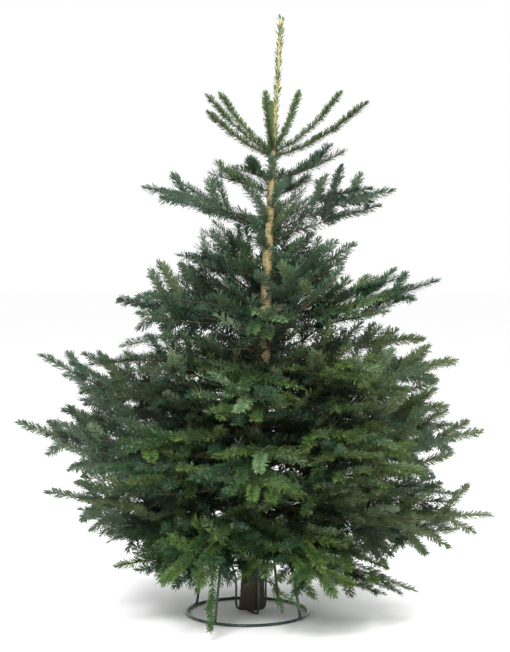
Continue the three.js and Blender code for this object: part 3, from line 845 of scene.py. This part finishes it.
def needle_mesh(name, which):
    """Every needle on the chosen shoots as one joined mesh, two faces to a needle."""
    rows = np.repeat(np.flatnonzero(which), counts[which])
    n = len(rows)
    draw = np.random.default_rng(77 + len(name))
    start, end, up = SHOOT_START[rows], SHOOT_END[rows], SHOOT_UP[rows]
    along = unit(end - start)
    side = unit(np.cross(along, up))
    lift = np.cross(side, along)
    share = draw.random(n)
    leader = SHOOT_ORDER[rows] == LEADER
    brush = SHOOT_ORDER[rows] >= LEADER
    sunny = (high[rows] > 1.2) | brush
    around = draw.choice((-1, 1), n) * draw.uniform(0, 1, n) ** 0.75 * math.radians(132)
    around = np.where(sunny & (draw.random(n) < 0.5), draw.uniform(-2.6, 2.6, n), around)
    around = np.where(brush, draw.uniform(-np.pi, np.pi, n), around)
    lean = draw.normal(math.radians(53), math.radians(9), n) - np.abs(np.cos(around)) * 0.10
    lean = np.where(at_rim[rows], lean * 0.86, lean)
    lean = np.where(brush, draw.normal(math.radians(50), math.radians(10), n), lean)
    lean = np.where(leader, draw.normal(math.radians(30), math.radians(10), n), lean)
    tipward = SHOOT_TIP[rows] & (share > 0.86)
    lean = np.where(tipward, lean * (1 - 0.75 * (share - 0.86) / 0.14), lean)
    length = NEEDLE["length"] * draw.normal(1, 0.15, n) * (1 - 0.14 * np.abs(np.cos(around)))
    length *= np.where(leader, 0.55, np.where(brush, 0.62, np.where(SHOOT_AGE[rows] < 1, 0.88, 1.0)))
    length *= np.where(SHOOT_ORDER[rows] == LONE, 0.62, 1.0)
    length *= np.where(SHOOT_TIP[rows], 1 - 0.25 * np.clip((share - 0.8) / 0.2, 0, 1), 1)
    width = NEEDLE["width"] * draw.normal(1, 0.08, n) * np.interp(outer[rows], (0.3, 0.9), (1.7, 1.0))
    way = unit(along * np.cos(lean)[:, None] + (side * np.sin(around)[:, None]
               + lift * np.cos(around)[:, None]) * np.sin(lean)[:, None])
    bow = 0.012 * lengths[rows] * 4 * share * (1 - share)
    base = start + (end - start) * share[:, None] + lift * bow[:, None]
    ridge = np.where(leader, 1.0 / np.sin(np.clip(lean, 0.3, 2)), 0.6)
    base = base + way * (SHOOT_THICK[rows] * ridge)[:, None]
    face_up = unit(lift + along * draw.normal(0.15, 0.25, n)[:, None]
                   + side * draw.normal(0, 0.25, n)[:, None])
    across = unit(np.cross(way, face_up))
    above = np.cross(across, way)
    half = across * (width / 2)[:, None]
    point = base + way * length[:, None]
    corners = np.stack([base - half * 0.62, base + half * 0.62, point + half * 0.85, point - half * 0.85], 1)
    corners[:, 2:] += (above * (length * 0.04 * draw.normal(0, 1, n))[:, None])[:, None]
    faces = (np.arange(n) * 4)[:, None, None] + np.array([(0, 1, 2), (0, 2, 3)])[None]
    return mesh_of(name, corners.reshape(-1, 3), faces.reshape(-1, 3))


def needle_material(name, top, other, under, rough):
    """Green above with a fine mottle, and the pale bands on the underside."""
    material = mottled_material(name, top, other, 130, 260, 1.0, rough)
    tree = material.node_tree
    shader = tree.nodes["Principled BSDF"]
    upper = shader.inputs["Base Color"].links[0].from_socket
    sides = tree.nodes.new("ShaderNodeNewGeometry")
    mixed = tree.nodes.new("ShaderNodeMix")
    mixed.data_type = "RGBA"
    shader.inputs["Specular IOR Level"].default_value = 0.28
    mixed.inputs["B"].default_value = (*under, 1)
    tree.links.new(sides.outputs["Backfacing"], mixed.inputs["Factor"])
    tree.links.new(upper, mixed.inputs["A"])
    tree.links.new(mixed.outputs["Result"], shader.inputs["Base Color"])
    return material


GREENS = [
    ("deep", (0.005, 0.020, 0.009), (0.016, 0.054, 0.023), (0.030, 0.062, 0.040), (0.40, 0.54)),
    ("mid", (0.022, 0.055, 0.016), (0.062, 0.126, 0.037), (0.072, 0.120, 0.066), (0.36, 0.50)),
    ("blue", (0.017, 0.046, 0.019), (0.050, 0.120, 0.052), (0.072, 0.128, 0.080), (0.34, 0.48)),
    ("fresh", (0.044, 0.088, 0.019), (0.114, 0.195, 0.048), (0.108, 0.160, 0.070), (0.36, 0.50)),
    # This pale green is a painted highlight, dealt to lit young outer sprays.
    ("pale", (0.072, 0.135, 0.052), (0.185, 0.285, 0.135), (0.175, 0.250, 0.150), (0.34, 0.48)),
    ("olive", (0.032, 0.064, 0.017), (0.084, 0.144, 0.045), (0.098, 0.148, 0.064), (0.36, 0.50)),
]
for k, (label, top, other, under, rough) in enumerate(GREENS):
    material = needle_material(f"needles_{label}", top, other, under, rough)
    chosen = np.flatnonzero((tone == k) & (counts > 0))
    total = counts[chosen].sum() * 2
    pieces = max(1, int(math.ceil(total / 190000)))
    chosen = chosen[np.argsort(SHOOT_START[chosen, 2])]
    edges = np.searchsorted(np.cumsum(counts[chosen]) * 2, [total * q / pieces for q in range(1, pieces)])
    for q, part in enumerate(np.split(chosen, edges)):
        which = np.zeros(len(shoots), bool)
        which[part] = True
        name = f"needles_{label}_{q + 1}"
        piece = add_piece(name, needle_mesh(name, which), material, smooth=False)
        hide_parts(*MASSES)

# ---------------------------------------------------------------------------------------------
# The studio: a pale seamless floor with soft light from above and from both sides.
# ---------------------------------------------------------------------------------------------

bpy.context.scene.view_settings.view_transform = "Standard"
world = bpy.data.worlds.new("studio")
bpy.context.scene.world = world
world.use_nodes = True
world.node_tree.nodes["Background"].inputs["Color"].default_value = (1.0, 1.0, 1.0, 1)
world.node_tree.nodes["Background"].inputs["Strength"].default_value = 1.0

floor_mesh = mesh_of("floor", [(-40, -40, 0), (40, -40, 0), (40, 40, 0), (-40, 40, 0)], [(0, 1, 2, 3)])
floor_piece = bpy.data.objects.new("floor", floor_mesh)
bpy.context.scene.collection.objects.link(floor_piece)
paper = bpy.data.materials.new("paper")
paper.use_nodes = True
paper.node_tree.nodes["Principled BSDF"].inputs["Base Color"].default_value = (0.98, 0.98, 0.98, 1)
paper.node_tree.nodes["Principled BSDF"].inputs["Roughness"].default_value = 0.9
floor_mesh.materials.append(paper)


def soft_light(name, spot, aim, size, power):
    lamp = bpy.data.lights.new(name, "AREA")
    lamp.size = size
    lamp.energy = power
    holder = bpy.data.objects.new(name, lamp)
    bpy.context.scene.collection.objects.link(holder)
    holder.location = spot
    holder.rotation_euler = (Vector(aim) - Vector(spot)).to_track_quat("-Z", "Y").to_euler()


soft_light("key", (-1.2, -3.5, 3.9), (0, 0, 0.9), 1.8, 215)
soft_light("fill", (3.2, -2.8, 2.4), (0, 0, 0.8), 2.4, 75)
soft_light("top", (0.4, -0.6, 4.4), (0, 0, 0.9), 2.0, 130)

eye = bpy.data.cameras.new("eye")
eye.sensor_width = 36
eye.lens = 87.5
camera = bpy.data.objects.new("eye", eye)
bpy.context.scene.collection.objects.link(camera)
DISTANCE = 5.33
EYE_HEIGHT = 1.231
camera.location = (stand_middle.x + 0.0255, stand_middle.y - DISTANCE, EYE_HEIGHT)
camera.rotation_euler = (math.radians(90 - 2.75), 0, 0)
bpy.context.scene.camera = camera
